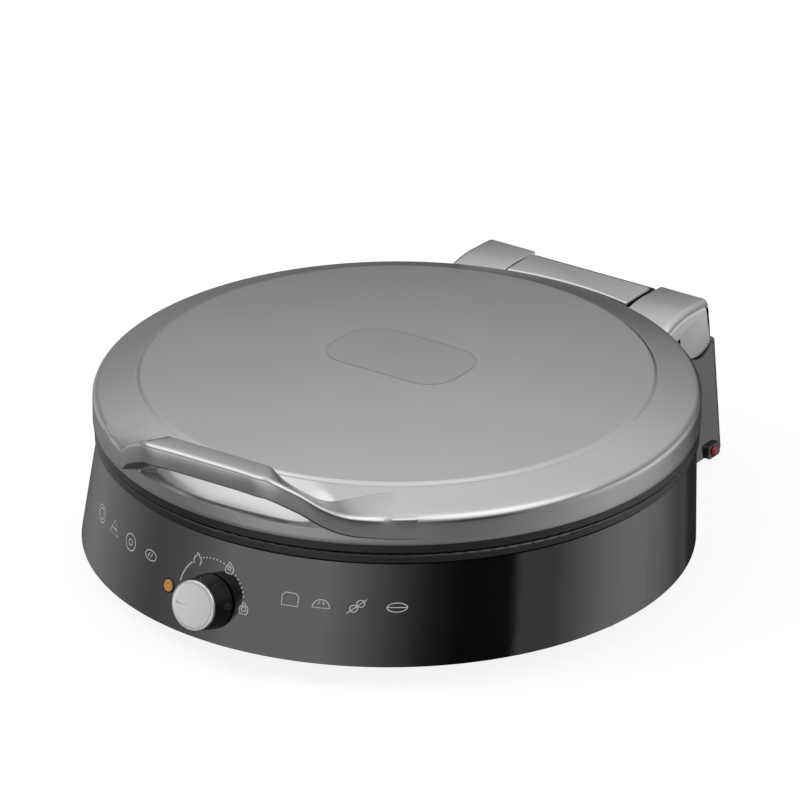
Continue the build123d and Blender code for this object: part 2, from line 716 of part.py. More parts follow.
# Upper pan: the shallow dish turned over, with bosses on its back
upper_floor_z = lid_bottom_z + upper_pan_depth
upper_back_z = upper_floor_z + pan_wall
upper_shield_z = upper_back_z + boss_length
with BuildPart() as upper_pan:
    with BuildSketch(Plane.XZ):
        with BuildLine():
            Polyline((0, upper_floor_z), (pan_radius - pan_draft, upper_floor_z), (pan_radius, lid_bottom_z),
                     (pan_radius + flange_width, lid_bottom_z),
                     (pan_radius + flange_width, upper_flange_top_z),
                     (pan_radius + pan_wall - 0.8, upper_flange_top_z),
                     (pan_radius - pan_draft + pan_wall, upper_back_z), (0, upper_back_z),
                     (0, upper_floor_z))
        make_face()
        fillet(near(vertices(), pan_radius - pan_draft, upper_floor_z), radius=7)
        fillet(near(vertices(), pan_radius - pan_draft + pan_wall, upper_back_z), radius=8)
        fillet(near(vertices(), pan_radius, lid_bottom_z), radius=1.2)
    revolve(axis=Axis.Z)
    with BuildSketch(Plane.XY.offset(upper_back_z)):
        with Locations(*[(boss_circle * cos(radians(a)), boss_circle * sin(radians(a))) for a in boss_angles]):
            Circle(boss_radius)
    extrude(amount=boss_length)
save(upper_pan.part, "upper_pan")

upper_element_z = upper_back_z + tube_radius
lead_rise = 7.0
save(heating_element(upper_element_z, upper_element_z + lead_rise), "upper_heating_element")

with BuildPart() as upper_heat_shield:
    with BuildSketch(Plane.XY.offset(upper_shield_z)):
        Circle(shield_radius)
    extrude(amount=shield_thickness)
    with BuildSketch(Plane.XY.offset(upper_shield_z)):
        Circle(shield_radius)
        Circle(shield_radius - shield_thickness, mode=Mode.SUBTRACT)
    extrude(amount=-shield_lip)
    with BuildSketch(Plane.XY.offset(upper_shield_z)):
        Circle(limiter_radius + fit_gap)
        for side in (-1, 1):
            angle = radians(90 + side * 10.5)
            with Locations((element_radius * cos(angle), element_radius * sin(angle))):
                Circle(lead_hole)
        with Locations(*[(boss_circle * cos(radians(a)), boss_circle * sin(radians(a))) for a in boss_angles]):
            Circle(2.1)
    extrude(amount=shield_thickness, mode=Mode.SUBTRACT)
save(upper_heat_shield.part, "upper_heat_shield")
save(pan_screws(upper_shield_z + shield_thickness, screw_shank, -1), "upper_pan_screws")
save(thermal_limiter(upper_back_z, 1), "upper_thermal_limiter")

# Lid shell: one moulding of the band, the sloping ring, the lowered rim under the handle and the hinge ears
annulus_inner = 147.0
annulus_top_z = rim_z + annulus_rise
seat_z = annulus_top_z - wall
panel_seat_width = 6.0
rim_rounding = 3.0
low_rim_z = rim_z - 7.0
low_rim_half_angle = 23.0
web_angle = 1.5
notch_section = [(annulus_inner, annulus_top_z), (rim_radius - 1.5, low_rim_z), (rim_radius, low_rim_z - 1.5),
                 (rim_radius + 5, low_rim_z - 1.5), (rim_radius + 5, rim_z + 5),
                 (annulus_inner, rim_z + annulus_rise + 5), (annulus_inner, annulus_top_z)]
block_section = [(annulus_inner, seat_z - wall), (rim_radius - wall, low_rim_z - wall),
                 (rim_radius + 5, low_rim_z - wall), (rim_radius + 5, rim_z + 5), (annulus_inner, rim_z + 5),
                 (annulus_inner, seat_z - wall)]


def sector(section, start, sweep_angle):
    """A section turned about the Z axis from one angle, through another."""
    with BuildPart() as turned:
        with BuildSketch(radial_plane(start)):
            with BuildLine():
                Polyline(*section)
            make_face()
        revolve(axis=Axis.Z, revolution_arc=sweep_angle)
    return turned.part


ear_crown_radius = 22.0     # rounding of the ear's top, seen from the side
ear_crown_z = hinge_z - 9.5
ear_edge_rounding = 6.5
web_top_z = band_bottom_z + 6.5
web_front_y = rim_radius - 28
with BuildPart() as ear:
    with BuildSketch(Plane.YZ.offset(ear_inner_x)):
        with Locations((hinge_y, ear_crown_z)):
            Circle(ear_crown_radius)
        with Locations((hinge_y, hinge_z)):
            Circle(ear_radius, mode=Mode.INTERSECT)
        with Locations(((ear_rear_y + web_front_y) / 2, hinge_z)):
            Rectangle(ear_rear_y - web_front_y, 4 * ear_radius, mode=Mode.INTERSECT)
    extrude(amount=ear_outer_x - ear_inner_x)
    crown_edge = edges().filter_by(GeomType.CIRCLE).group_by(Axis.X)[-1].sort_by(Axis.Z)[-1]
    fillet(crown_edge, radius=ear_edge_rounding)
    with BuildSketch(Plane.YZ.offset(ear_inner_x)):
        with Locations(((hinge_y + web_front_y) / 2, (web_top_z + band_bottom_z) / 2)):
            Rectangle(hinge_y - web_front_y, web_top_z - band_bottom_z)
    extrude(amount=ear_outer_x - ear_edge_rounding - ear_inner_x)
    with BuildSketch(Plane.YZ.offset(ear_inner_x)):
        with Locations((hinge_y, hinge_z)):
            Circle(6)
    extrude(amount=pin_half + 1 - ear_inner_x, mode=Mode.SUBTRACT)

with BuildPart() as ears:
    add(ear.part)
    mirror(about=Plane.YZ)
    with BuildSketch(Plane.XY.offset(tower_top_z - 10)):
        Circle(rim_radius - 1)
    extrude(amount=60, mode=Mode.SUBTRACT)

with BuildPart() as lid_envelope:
    with BuildSketch(Plane.XZ):
        with BuildLine():
            Polyline((0, band_bottom_z), (rim_radius, band_bottom_z), (rim_radius, rim_z),
                     (annulus_inner, annulus_top_z), (0, annulus_top_z), (0, band_bottom_z))
        make_face()
        fillet(near(vertices(), rim_radius, rim_z), radius=rim_rounding)
    revolve(axis=Axis.Z)
    add(sector(notch_section, -90 - low_rim_half_angle, 2 * low_rim_half_angle), mode=Mode.SUBTRACT)

with BuildPart() as lid_void:
    with BuildSketch(Plane.XZ):
        with BuildLine():
            Polyline((0, band_bottom_z - 1), (rim_radius - wall, band_bottom_z - 1), (rim_radius - wall, rim_z - wall),
                     (annulus_inner, seat_z - wall), (0, seat_z - wall), (0, band_bottom_z - 1))
        make_face()
    revolve(axis=Axis.Z)
    block_half_angle = low_rim_half_angle + web_angle
    add(sector(block_section, -90 - block_half_angle, 2 * block_half_angle), mode=Mode.SUBTRACT)

with BuildPart() as lid_shell:
    add(lid_envelope.part)
    add(lid_void.part, mode=Mode.SUBTRACT)
    with BuildSketch(Plane.XY.offset(band_bottom_z)):
        Circle(annulus_inner - panel_seat_width)
    extrude(amount=band_height + annulus_rise, mode=Mode.SUBTRACT)
    with BuildSketch(Plane.XY.offset(seat_z)):
        Circle(annulus_inner)
    extrude(amount=wall, mode=Mode.SUBTRACT)
    add(ears.part)
save(lid_shell.part, "lid_shell")

# Top panel: a slightly domed disc that drops into the seat of the lid shell
panel_radius = annulus_inner - 0.4
panel_step = 1.55
crown_radius = panel_radius - 2.2
crown_top_z = annulus_top_z + panel_step + crown_rise
dome_radius = (crown_radius**2 + crown_rise**2) / (2 * crown_rise)
badge_width = 84.0
badge_length = 52.0
badge_corner = 19.0
badge_y = 3.8
badge_depth = 1.0
badge_gap = 0.3


def crown_z(radius):
    """The height of the top panel's outer face."""
    return crown_top_z - dome_radius + sqrt(dome_radius**2 - radius**2)


def dome(drop):
    """A solid under the top panel's face, let down by a drop."""
    floor_z = annulus_top_z - 8
    with BuildPart() as solid:
        with BuildSketch(Plane.XZ):
            with BuildLine():
                Polyline((0, crown_top_z - drop), (0, floor_z), (crown_radius, floor_z),
                         (crown_radius, crown_z(crown_radius) - drop))
                ThreePointArc((crown_radius, crown_z(crown_radius) - drop),
                              (crown_radius / 2, crown_z(crown_radius / 2) - drop), (0, crown_top_z - drop))
            make_face()
        revolve(axis=Axis.Z)
    return solid.part


def badge_prism(gap):
    """An upright oblong post with rounded corners, wider than the badge by a gap all round."""
    with BuildPart() as post:
        with BuildSketch(Plane((0, badge_y, crown_top_z - 6))):
            RectangleRounded(badge_width + 2 * gap, badge_length + 2 * gap, badge_corner + gap)
        extrude(amount=10)
    return post.part


with BuildPart() as lid_top_panel:
    with BuildSketch(Plane.XZ):
        with BuildLine():
            inner_radius = annulus_inner - panel_seat_width + 0.2
            Polyline((0, crown_top_z - wall), (0, crown_top_z))
            ThreePointArc((0, crown_top_z), (crown_radius / 2, crown_z(crown_radius / 2)),
                          (crown_radius, crown_z(crown_radius)))
            Polyline((crown_radius, crown_z(crown_radius)), (panel_radius, annulus_top_z),
                     (panel_radius, seat_z), (inner_radius, seat_z), (inner_radius, crown_z(inner_radius) - wall))
            ThreePointArc((inner_radius, crown_z(inner_radius) - wall),
                          (inner_radius / 2, crown_z(inner_radius / 2) - wall), (0, crown_top_z - wall))
        make_face()
    revolve(axis=Axis.Z)
    add(badge_prism(badge_gap) - dome(badge_depth), mode=Mode.SUBTRACT)
save(lid_top_panel.part, "lid_top_panel")

with BuildPart() as lid_badge:
    add(badge_prism(0))
    add(dome(0), mode=Mode.INTERSECT)
    add(dome(badge_depth), mode=Mode.SUBTRACT)
save(lid_badge.part, "lid_badge")

# Bar handle: it bridges the lowered rim at the front. Two rails carry the top edges of each end, which
# turns in, runs down and flares out over the band.
handle_top_z = rim_z + 27.5
rim_front_y = -rim_radius
handle_back_y = handle_front_y + 15.0
handle_height = 13.0
handle_rounding = 1.8
handle_sections = 18
front_rail = Edge.make_spline([(41, handle_front_y, handle_top_z), (57.5, handle_front_y + 9, rim_z + 19.2),
                               (68, handle_front_y + 17, rim_z + 10.6), (76.8, rim_front_y + 11.5, rim_z + 3.8),
                               (87, rim_front_y + 20.8, rim_z + 0.8), (100, rim_front_y + 34.5, rim_z - 1.0)],
                              tangents=[(1, 0, 0), (0.7, 0.69, -0.2)])
back_rail = Edge.make_spline([(33, handle_back_y, handle_top_z), (40, handle_back_y + 4.2, rim_z + 18.9),
                              (50.5, rim_front_y + 10.8, rim_z + 10.2), (57.4, rim_front_y + 19.8, rim_z + 3.6),
                              (66, rim_front_y + 29, rim_z + 1.4), (76, rim_front_y + 40, rim_z + 0.5)],
                             tangents=[(1, 0, 0), (0.67, 0.74, 0)])


def handle_section(front, back):
    """The handle's upright section between a point of its front top edge and one of its back top edge."""
    level = Vector(back.X - front.X, back.Y - front.Y, 0)
    across = level.normalized()
    rise = back.Z - front.Z
    with BuildSketch(Plane(origin=front, x_dir=across, z_dir=(across.Y, -across.X, 0))) as section:
        with BuildLine():
            Polyline((0, 0), (level.length, rise), (level.length, rise - handle_height), (0, -handle_height), (0, 0))
        make_face()
        fillet(vertices(), radius=handle_rounding)
    return section.sketch.faces()[0]


handle_shares = [step / (handle_sections - 1) for step in range(handle_sections)]
end_faces = [handle_section(front_rail @ share, back_rail @ share) for share in handle_shares]
middle_face = handle_section(Vector(0, handle_front_y, handle_top_z), Vector(0, handle_back_y, handle_top_z))
with BuildPart() as handle_half:
    loft(end_faces)
    add(lid_envelope.part, mode=Mode.SUBTRACT)
    loft([middle_face, end_faces[0]], ruled=True)

with BuildPart() as lid_handle:
    add(handle_half.part)
    mirror(about=Plane.YZ)
save(lid_handle.part, "lid_handle")

# Bushes pressed into the ears, turning on the pin
bush_radius = 6.0
bush_end_x = pin_half + 0.5


def hinge_bush(start_x):
    """A plain bush on the hinge axis, running towards +X."""
    with BuildPart() as bush:
        with BuildSketch(Plane.YZ.offset(start_x)):
            with Locations((hinge_y, hinge_z)):
                Circle(bush_radius)
                Circle(hinge_pin_radius + pin_play, mode=Mode.SUBTRACT)
        extrude(amount=bush_end_x - ear_inner_x)
    return bush.part


save(hinge_bush(ear_inner_x), "hinge_bush_right")
save(hinge_bush(-bush_end_x), "hinge_bush_left")
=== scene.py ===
import json
import math
import bmesh
import bpy
from mathutils import Matrix, Vector


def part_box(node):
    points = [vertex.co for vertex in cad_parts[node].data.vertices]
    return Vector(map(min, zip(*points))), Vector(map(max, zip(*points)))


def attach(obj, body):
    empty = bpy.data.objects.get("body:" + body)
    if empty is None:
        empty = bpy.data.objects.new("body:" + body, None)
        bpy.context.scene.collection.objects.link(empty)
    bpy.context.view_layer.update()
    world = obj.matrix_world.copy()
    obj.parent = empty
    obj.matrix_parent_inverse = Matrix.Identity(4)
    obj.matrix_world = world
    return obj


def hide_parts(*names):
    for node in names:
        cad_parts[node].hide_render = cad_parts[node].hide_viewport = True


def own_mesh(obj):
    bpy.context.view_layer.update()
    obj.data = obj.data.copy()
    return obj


# Looks of the double-sided baking pan.
# Sizes are in mm from the axis of the round body, with the table at z = 0.
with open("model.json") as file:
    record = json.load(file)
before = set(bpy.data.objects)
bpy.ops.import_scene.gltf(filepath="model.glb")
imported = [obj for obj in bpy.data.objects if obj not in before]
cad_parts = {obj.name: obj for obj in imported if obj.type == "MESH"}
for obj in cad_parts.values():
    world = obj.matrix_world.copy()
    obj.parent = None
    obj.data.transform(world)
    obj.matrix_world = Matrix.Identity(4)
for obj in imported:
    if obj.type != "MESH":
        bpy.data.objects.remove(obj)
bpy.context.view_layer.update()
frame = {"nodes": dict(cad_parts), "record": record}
collarLow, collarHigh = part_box("base_collar")
axisY = (collarLow.y + collarHigh.y) / 2  # the round body stands a little off the origin
nodes = frame["nodes"]
print("frame loaded, round axis at y =", round(axisY, 5))


def atPlace(x, y, z):
    return Vector((x / 1000, y / 1000 + axisY, z / 1000))


# Unit vector towards a place in the studio: azimuth 0 is the front, 90 the right
def directionTo(azimuth, elevation):
    turned, raised = math.radians(azimuth), math.radians(elevation)
    return Vector((math.sin(turned) * math.cos(raised), -math.cos(turned) * math.cos(raised),
                   math.sin(raised)))


shot = {"azimuth": 34.45, "elevation": 25.022, "distance": 6.0, "lens": 481.46, "sensor": 36,
        "shiftX": 0.00349, "shiftY": -0.01716, "aimZ": 100, "farClip": 100}
back = directionTo(shot["azimuth"], shot["elevation"])
cameraData = bpy.data.cameras.new("shot")
cameraData.lens = shot["lens"]
cameraData.sensor_width = shot["sensor"]
cameraData.shift_x = shot["shiftX"]
cameraData.shift_y = shot["shiftY"]
cameraData.clip_end = shot["farClip"]
camera = bpy.data.objects.new("shot", cameraData)
camera.location = atPlace(0, 0, shot["aimZ"]) + back * shot["distance"]
camera.rotation_mode = "QUATERNION"
camera.rotation_quaternion = (-back).to_track_quat("-Z", "Y")
bpy.context.scene.collection.objects.link(camera)
bpy.context.scene.camera = camera
bpy.context.scene.view_settings.view_transform = "Standard"
print("camera placed")


# A node with its settings, and its inputs either linked or set
def addNode(tree, kind, inputs=None, **settings):
    node = tree.nodes.new(kind)
    for name, value in settings.items():
        setattr(node, name, value)
    for socket, value in (inputs or {}).items():
        if hasattr(value, "is_output"):
            tree.links.new(value, node.inputs[socket])
        else:
            node.inputs[socket].default_value = value
    return node


def mathNode(tree, operation, *values):
    return addNode(tree, "ShaderNodeMath", dict(enumerate(values)), operation=operation).outputs[0]


def ramp(tree, factor, stops, interpolation="EASE"):
    node = addNode(tree, "ShaderNodeValToRGB", {0: factor})
    node.color_ramp.interpolation = interpolation
    while len(node.color_ramp.elements) < len(stops):
        node.color_ramp.elements.new(0.5)
    for element, (place, value) in zip(node.color_ramp.elements, stops):
        element.position = place
        element.color = (value, value, value, 1)
    return node.outputs[0]


def mixColours(tree, factor, first, second):
    first, second = [value if hasattr(value, "is_output") else (*value, 1)
                     for value in (first, second)]
    mixer = addNode(tree, "ShaderNodeMix", {"Factor": factor, 6: first, 7: second},
                    data_type="RGBA")
    return mixer.outputs[2]


def mixShaders(tree, factor, first, second):
    sockets = {0: factor, 1: first.outputs[0], 2: second.outputs[0]}
    return addNode(tree, "ShaderNodeMixShader", sockets)


# The studio is white to the eye; in reflections it is a room of soft panels.
# "around" and "below" go by azimuth in degrees, "upward" by elevation.
# The last three rows of stops go by height, from 0 straight down to 1 straight up.
studio = {"fill": 0.62, "seenWhite": 1.0,
          "around": [(-180, .15), (-170, .04), (-158, .02), (-147, .1), (-134, .3), (-110, .6),
                     (-86, .65), (-62, .4), (-50, .5), (-38, .7), (-26, 1.1), (10, 1.15),
                     (22, .7), (34, .35), (46, .08), (57, 0), (78, 0), (81, .35), (94, .3),
                     (106, .6), (118, .9), (130, 1.05), (142, 1.05), (154, .9), (166, .5),
                     (177, .2)],
          "below": [(-180, .10), (-174, .05), (-158, .03), (-140, .12), (-118, .28), (-102, .27),
                    (-70, .23), (-54, .18), (-38, .22), (-22, .33), (-6, .37), (12, .33),
                    (26, .28), (42, .26), (58, .25), (74, .30), (90, .33), (106, .44),
                    (122, .53), (138, .52), (154, .40), (170, .18)],
          "upward": [(0, .2), (12, .34), (20, .46), (25, .54), (38, .82), (61, 1.02), (74, 1.22),
                     (90, 1.3)],
          "panels": [{"azimuth": -50, "elevation": 48, "inner": 10, "outer": 30, "strength": 0.9},
                     {"azimuth": 78, "elevation": 46, "inner": 10, "outer": 36, "strength": 1.1}],
          "aroundShare": [(0.29, 0.0), (0.35, 1.0)],
          "horizonShare": [(0.51, 1.0), (0.585, 0.0)],
          "darkBelow": [(0.07, 0.06), (0.20, 1.0)]}


def turnStops(rows):
    return [((angle + 180) / 360, value) for angle, value in rows]


world = bpy.data.worlds.new("studio")
bpy.context.scene.world = world
world.use_nodes = True
tree = world.node_tree
tree.nodes.clear()
direction = addNode(tree, "ShaderNodeTexCoord").outputs["Generated"]
split = addNode(tree, "ShaderNodeSeparateXYZ", {0: direction})
turn = mathNode(tree, "ARCTAN2", split.outputs[0],
                mathNode(tree, "MULTIPLY", split.outputs[1], -1.0))
turn = mathNode(tree, "MULTIPLY_ADD", turn, 1 / math.tau, 0.5)
rise = mathNode(tree, "MULTIPLY_ADD", split.outputs[2], 0.5, 0.5)
around = ramp(tree, turn, turnStops(studio["around"]), "LINEAR")
below = ramp(tree, turn, turnStops(studio["below"]), "LINEAR")
upward = ramp(tree, rise, [(math.sin(math.radians(angle)) / 2 + 0.5, value)
                           for angle, value in studio["upward"]], "LINEAR")
horizon = mixColours(tree, ramp(tree, rise, studio["aroundShare"]), below, around)
room = mixColours(tree, ramp(tree, rise, studio["horizonShare"]), upward, horizon)
room = mathNode(tree, "MULTIPLY", room, ramp(tree, rise, studio["darkBelow"]))
for soft in studio["panels"]:
    towards = addNode(tree, "ShaderNodeVectorMath",
                      {0: direction, 1: directionTo(soft["azimuth"], soft["elevation"])},
                      operation="DOT_PRODUCT")
    fade = [(math.cos(math.radians(soft["outer"])), 0.0),
            (math.cos(math.radians(soft["inner"])), 1.0)]
    room = mathNode(tree, "MULTIPLY_ADD", ramp(tree, towards.outputs["Value"], fade),
                    soft["strength"], room)
paths = addNode(tree, "ShaderNodeLightPath")
white = (1, 1, 1, 1)
fillLight = addNode(tree, "ShaderNodeBackground", {"Color": white, "Strength": studio["fill"]})
mirrorLight = addNode(tree, "ShaderNodeBackground", {"Color": room})
seenLight = addNode(tree, "ShaderNodeBackground",
                    {"Color": white, "Strength": studio["seenWhite"]})
seenPlain = mathNode(tree, "MAXIMUM", paths.outputs["Is Camera Ray"],
                     paths.outputs["Is Transmission Ray"])
roomLight = mixShaders(tree, paths.outputs["Is Glossy Ray"], fillLight, mirrorLight)
allLight = mixShaders(tree, seenPlain, roomLight, seenLight)
addNode(tree, "ShaderNodeOutputWorld", {0: allLight.outputs[0]})

lampAim = Vector((0, 0, 0.1))
lamps = {"keyPanel": {"place": (-1.3, -1.1, 1.9), "size": (0.9, 0.6), "power": 16},
         "sidePanel": {"place": (2.2, 0.2, 1.2), "size": (0.8, 1.2), "power": 8}}
for name, lampLook in lamps.items():
    lampData = bpy.data.lights.new(name, "AREA")
    lampData.shape = "RECTANGLE"
    lampData.size, lampData.size_y = lampLook["size"]
    lampData.energy = lampLook["power"]
    lamp = bpy.data.objects.new(name, lampData)
    lamp.location = Vector(lampLook["place"])
    lamp.rotation_mode = "QUATERNION"
    lamp.rotation_quaternion = (lampAim - Vector(lampLook["place"])).to_track_quat("-Z", "Y")
    bpy.context.scene.collection.objects.link(lamp)
    lamp.visible_glossy = False  # the world's panels are what gloss shows

paper = {"size": 20, "colour": (0.86, 0.86, 0.86, 1), "glow": 1.12, "glowShare": 0.78}
floorMesh = bpy.data.meshes.new("floor")
floorBuild = bmesh.new()
bmesh.ops.create_grid(floorBuild, x_segments=1, y_segments=1, size=paper["size"])
floorBuild.to_mesh(floorMesh)
floorBuild.free()
floor = bpy.data.objects.new("floor", floorMesh)
bpy.context.scene.collection.objects.link(floor)
floor.visible_glossy = False
floorMaterial = bpy.data.materials.new("floorPaper")
floorMaterial.use_nodes = True
tree = floorMaterial.node_tree
tree.nodes.clear()
floorPaths = addNode(tree, "ShaderNodeLightPath")
glowShare = mathNode(tree, "MULTIPLY", floorPaths.outputs["Is Camera Ray"], paper["glowShare"])
sheet = addNode(tree, "ShaderNodeBsdfDiffuse", {"Color": paper["colour"]})
glow = addNode(tree, "ShaderNodeEmission", {"Strength": paper["glow"]})
addNode(tree, "ShaderNodeOutputMaterial", {0: mixShaders(tree, glowShare, sheet, glow).outputs[0]})
floorMesh.materials.append(floorMaterial)
print("studio ready")

# Shared grain: a slow cloud, a fine grain and sparse specks, in the object's own coordinates
grainGroup = bpy.data.node_groups.new("surfaceGrain", "ShaderNodeTree")
for name, value in (("Cloud scale", 12.0), ("Grain scale", 900.0), ("Speck scale", 700.0),
                    ("Speck size", 0.12)):
    socket = grainGroup.interface.new_socket(name=name, in_out="INPUT",
                                             socket_type="NodeSocketFloat")
    socket.default_value = value
for name in ("Cloud", "Grain", "Specks"):
    grainGroup.interface.new_socket(name=name, in_out="OUTPUT", socket_type="NodeSocketFloat")
groupIn = grainGroup.nodes.new("NodeGroupInput")
ownPlace = addNode(grainGroup, "ShaderNodeTexCoord").outputs["Object"]
cloud = addNode(grainGroup, "ShaderNodeTexNoise",
                {"Vector": ownPlace, "Scale": groupIn.outputs["Cloud scale"], "Detail": 3.0,
                 "Roughness": 0.55})
grain = addNode(grainGroup, "ShaderNodeTexNoise",
                {"Vector": ownPlace, "Scale": groupIn.outputs["Grain scale"], "Detail": 2.0,
                 "Roughness": 0.6})
cell = addNode(grainGroup, "ShaderNodeTexVoronoi",
               {"Vector": ownPlace, "Scale": groupIn.outputs["Speck scale"]})
specks = mathNode(grainGroup, "LESS_THAN", cell.outputs["Distance"],
                  groupIn.outputs["Speck size"])
addNode(grainGroup, "NodeGroupOutput",
        {"Cloud": cloud.outputs["Fac"], "Grain": grain.outputs["Fac"], "Specks": specks})


def makeMaterial(name, look):
    material = bpy.data.materials.new(name)
    material.use_nodes = True
    tree = material.node_tree
    shader = tree.nodes["Principled BSDF"]
    group = addNode(tree, "ShaderNodeGroup",
                    {"Cloud scale": look.get("cloudScale", 12),
                     "Grain scale": look.get("grainScale", 900),
                     "Speck scale": look.get("speckScale", 700),
                     "Speck size": look.get("speckSize", 0.0)}, node_tree=grainGroup)
    grainShare = look.get("grainShare", 0.4)
    shade = mathNode(tree, "MULTIPLY_ADD", group.outputs["Grain"], grainShare,
                     mathNode(tree, "MULTIPLY", group.outputs["Cloud"], 1 - grainShare))
    shade = ramp(tree, shade, [(0.35, 0.0), (0.65, 1.0)], "LINEAR")
    colour = mixColours(tree, shade, look["dark"], look["light"])
    if "speck" in look:
        colour = mixColours(tree, group.outputs["Specks"], colour, look["speck"])
    tree.links.new(colour, shader.inputs["Base Color"])
    low, high = look["rough"]
    tree.links.new(mathNode(tree, "MULTIPLY_ADD", shade, high - low, low),
                   shader.inputs["Roughness"])
    shader.inputs["Metallic"].default_value = look.get("metallic", 0.0)
    shader.inputs["IOR"].default_value = look.get("ior", 1.5)
    shader.inputs["Coat Weight"].default_value = look.get("coat", 0.0)
    shader.inputs["Coat Roughness"].default_value = 0.05
    shader.inputs["Transmission Weight"].default_value = look.get("transmission", 0.0)
    if "bump" in look:
        bump = addNode(tree, "ShaderNodeBump",
                       {"Strength": look["bump"], "Distance": look.get("bumpDepth", 0.0002),
                        "Height": group.outputs["Grain"]})
        tree.links.new(bump.outputs["Normal"], shader.inputs["Normal"])
    return material


finishes = {
    "silverSatin": {"dark": (.485, .485, .487), "light": (.515, .515, .517), "rough": (.22, .26),
                    "metallic": .95, "cloudScale": 9, "grainScale": 2600, "grainShare": .5,
                    "bump": .05, "bumpDepth": .0001},
    "badgeSilver": {"dark": (.45, .45, .452), "light": (.48, .48, .482), "rough": (.22, .26),
                    "metallic": .95, "cloudScale": 14, "grainScale": 2600, "grainShare": .5,
                    "bump": .04, "bumpDepth": .0001},
    "capSilver": {"dark": (.62, .62, .62), "light": (.70, .70, .70), "rough": (.22, .30),
                  "metallic": .9, "grainScale": 2200, "bump": .05, "bumpDepth": .0001},
    "charcoalGloss": {"dark": (.0035, .0035, .004), "light": (.006, .006, .007),
                      "rough": (.07, .10), "ior": 1.9, "cloudScale": 7, "grainScale": 1800,
                      "bump": .012, "bumpDepth": .0001},
    "blackGloss": {"dark": (.005, .005, .005), "light": (.009, .009, .009), "rough": (.16, .22),
                   "ior": 1.6, "grainScale": 1800, "bump": .02, "bumpDepth": .0001},
    "blackSatin": {"dark": (.010, .010, .010), "light": (.017, .017, .017), "rough": (.34, .44),
                   "grainScale": 1500, "bump": .12},
    "nonstick": {"dark": (.018, .018, .019), "light": (.030, .030, .031), "rough": (.30, .42),
                 "cloudScale": 20, "grainScale": 1600, "bump": .18, "speckScale": 420,
                 "speckSize": .16, "speck": (.075, .075, .078)},
    "elementSteel": {"dark": (.19, .18, .165), "light": (.30, .285, .26), "rough": (.32, .5),
                     "metallic": .9, "cloudScale": 60, "grainScale": 1200, "bump": .2},
    "zincSheet": {"dark": (.46, .47, .48), "light": (.62, .63, .64), "rough": (.25, .48),
                  "metallic": .95, "cloudScale": 130, "grainShare": .2, "bump": .06},
    "screwSteel": {"dark": (.42, .42, .42), "light": (.55, .55, .55), "rough": (.22, .36),
                   "metallic": .95, "cloudScale": 200, "grainScale": 2500, "bump": .08,
                   "bumpDepth": .0001},
    "brownCeramic": {"dark": (.10, .045, .022), "light": (.15, .07, .035), "rough": (.4, .55),
                     "cloudScale": 90, "grainScale": 1500, "bump": .2},
    "footRubber": {"dark": (.012, .012, .012), "light": (.022, .022, .022), "rough": (.6, .75),
                   "cloudScale": 60, "grainScale": 1900, "bump": .3},
    "lensAmber": {"dark": (.50, .20, .025), "light": (.62, .28, .04), "rough": (.08, .14),
                  "cloudScale": 250, "grainScale": 2000, "coat": .6},
    "lampGlass": {"dark": (.85, .80, .70), "light": (.93, .90, .82), "rough": (.05, .1),
                  "cloudScale": 300, "transmission": .6},
    "terminalWhite": {"dark": (.60, .59, .56), "light": (.70, .69, .66), "rough": (.4, .5),
                      "cloudScale": 80, "grainScale": 1600, "bump": .1},
    "buttonRed": {"dark": (.25, .022, .016), "light": (.34, .035, .025), "rough": (.25, .34),
                  "cloudScale": 300, "grainScale": 2000, "bump": .05},
    "bushPlastic": {"dark": (.42, .40, .35), "light": (.50, .48, .43), "rough": (.35, .5),
                    "cloudScale": 120, "grainScale": 1600, "bump": .08},
    "printGrey": {"dark": (.52, .52, .52), "light": (.62, .62, .62), "rough": (.35, .45),
                  "cloudScale": 200, "grainScale": 3000},
}
materials = {name: makeMaterial(name, look) for name, look in finishes.items()}

slotFinish = {"silver_satin": "silverSatin", "badge_silver": "badgeSilver",
              "charcoal_gloss": "charcoalGloss", "black_gloss": "blackGloss",
              "black_satin": "blackSatin", "nonstick": "nonstick",
              "element_steel": "elementSteel", "zinc_sheet": "zincSheet",
              "screw_steel": "screwSteel", "brown_ceramic": "brownCeramic",
              "foot_rubber": "footRubber", "cap_silver": "capSilver",
              "lens_amber": "lensAmber", "lamp_glass": "lampGlass",
              "terminal_white": "terminalWhite", "button_red": "buttonRed",
              "bush_plastic": "bushPlastic"}
nodeSlot = {row["node"]: row["material_slot"] for row in frame["record"]["subparts"]}
for nodeName, node in nodes.items():
    finish = materials[slotFinish[nodeSlot[nodeName]]]
    if not node.material_slots:
        node.data.materials.append(finish)
    for slot in node.material_slots:
        slot.material = finish
print("materials ready on", len(nodes), "nodes")


# Turn a build in mm about the round axis into a piece of the model
def settle(build, name, finishName, body, replaced=(), creaseAngle=32, merge=0.0005):
    if merge:
        bmesh.ops.remove_doubles(build, verts=build.verts, dist=merge)
    bmesh.ops.recalc_face_normals(build, faces=build.faces)
    build.transform(Matrix.Translation((0, axisY, 0)) @ Matrix.Scale(0.001, 4))
    mesh = bpy.data.meshes.new(name)
    build.to_mesh(mesh)
    build.free()
    for face in mesh.polygons:
        face.use_smooth = True
    mesh.set_sharp_from_angle(angle=math.radians(creaseAngle))
    mesh.materials.append(materials[finishName])
    piece = bpy.data.objects.new(name, mesh)
    bpy.context.scene.collection.objects.link(piece)
    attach(piece, body)
    if replaced:
        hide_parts(*replaced)
    return piece


# Spin a profile of (radius, height) points about the upright axis
def lathe(build, profile, steps):
    verts = [build.verts.new((radius, 0, height)) for radius, height in profile]
    edges = [build.edges.new(pair) for pair in zip(verts, verts[1:])]
    bmesh.ops.spin(build, geom=verts + edges, cent=(0, 0, 0), axis=(0, 0, 1), angle=math.tau,
                   steps=steps, use_merge=True)


